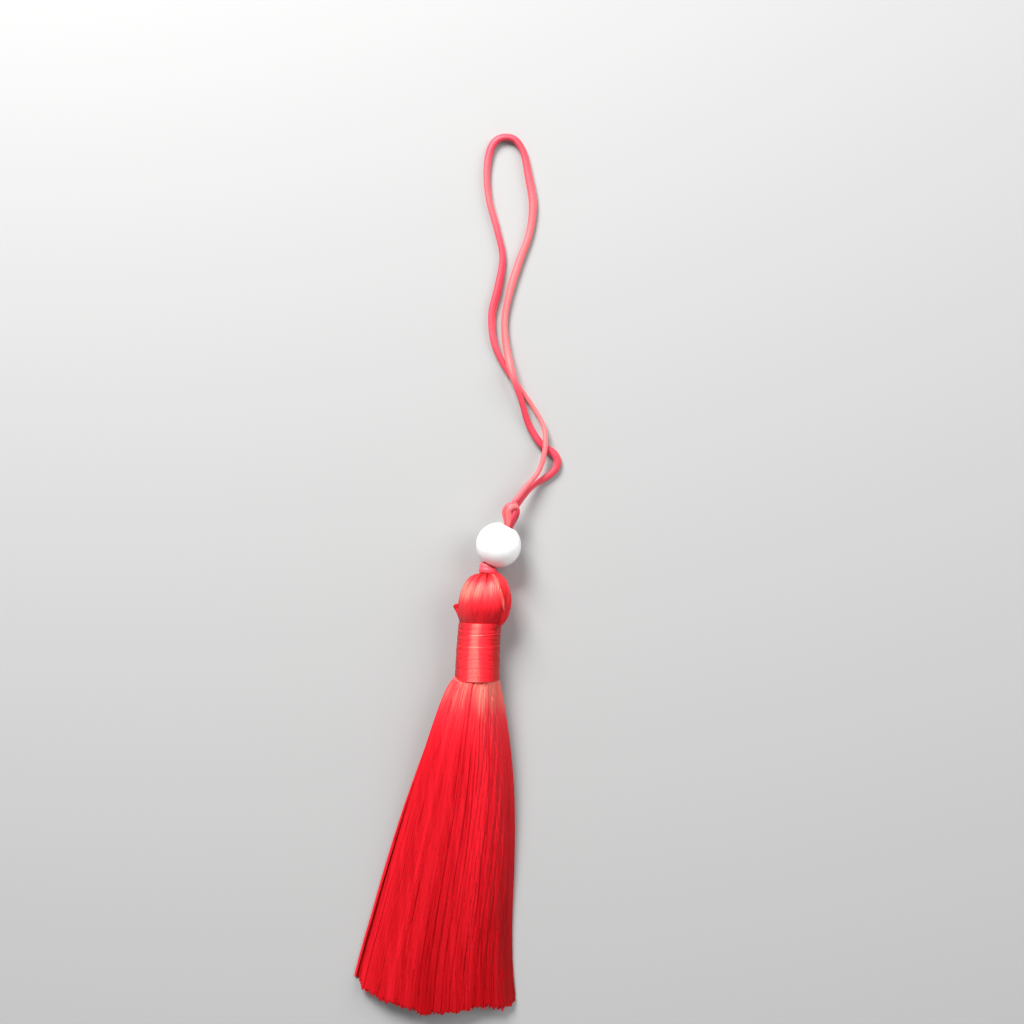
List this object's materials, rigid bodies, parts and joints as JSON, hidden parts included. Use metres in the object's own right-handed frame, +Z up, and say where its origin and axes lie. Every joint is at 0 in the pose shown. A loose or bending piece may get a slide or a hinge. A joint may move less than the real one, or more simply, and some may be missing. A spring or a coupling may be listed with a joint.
{
  "type": "beaded silk tassel",
  "caption": "Red silk tassel with a satin cord hanging loop, a knot, a round white bead, a gathered head, a wound neck and a fanned skirt of cut threads.",
  "frame": {"origin": "on the surface that the tassel lies on, under the middle of the neck binding", "axes": "+Y runs up the tassel to the hanging loop, +X across it, +Z up from the surface"},
  "size_m": [0.0466, 0.1961, 0.0108],
  "materials": {
    "silk": "satin",
    "binding_thread": "satin",
    "satin_cord": "satin",
    "bead": "gloss"
  },
  "bodies": {
    "root": {"loop_cord": "satin_cord", "upper_knot": "satin_cord", "bead": "bead", "top_tie": "satin_cord", "tassel_silk": "silk", "neck_binding": "binding_thread"}
  },
  "joints": []
}
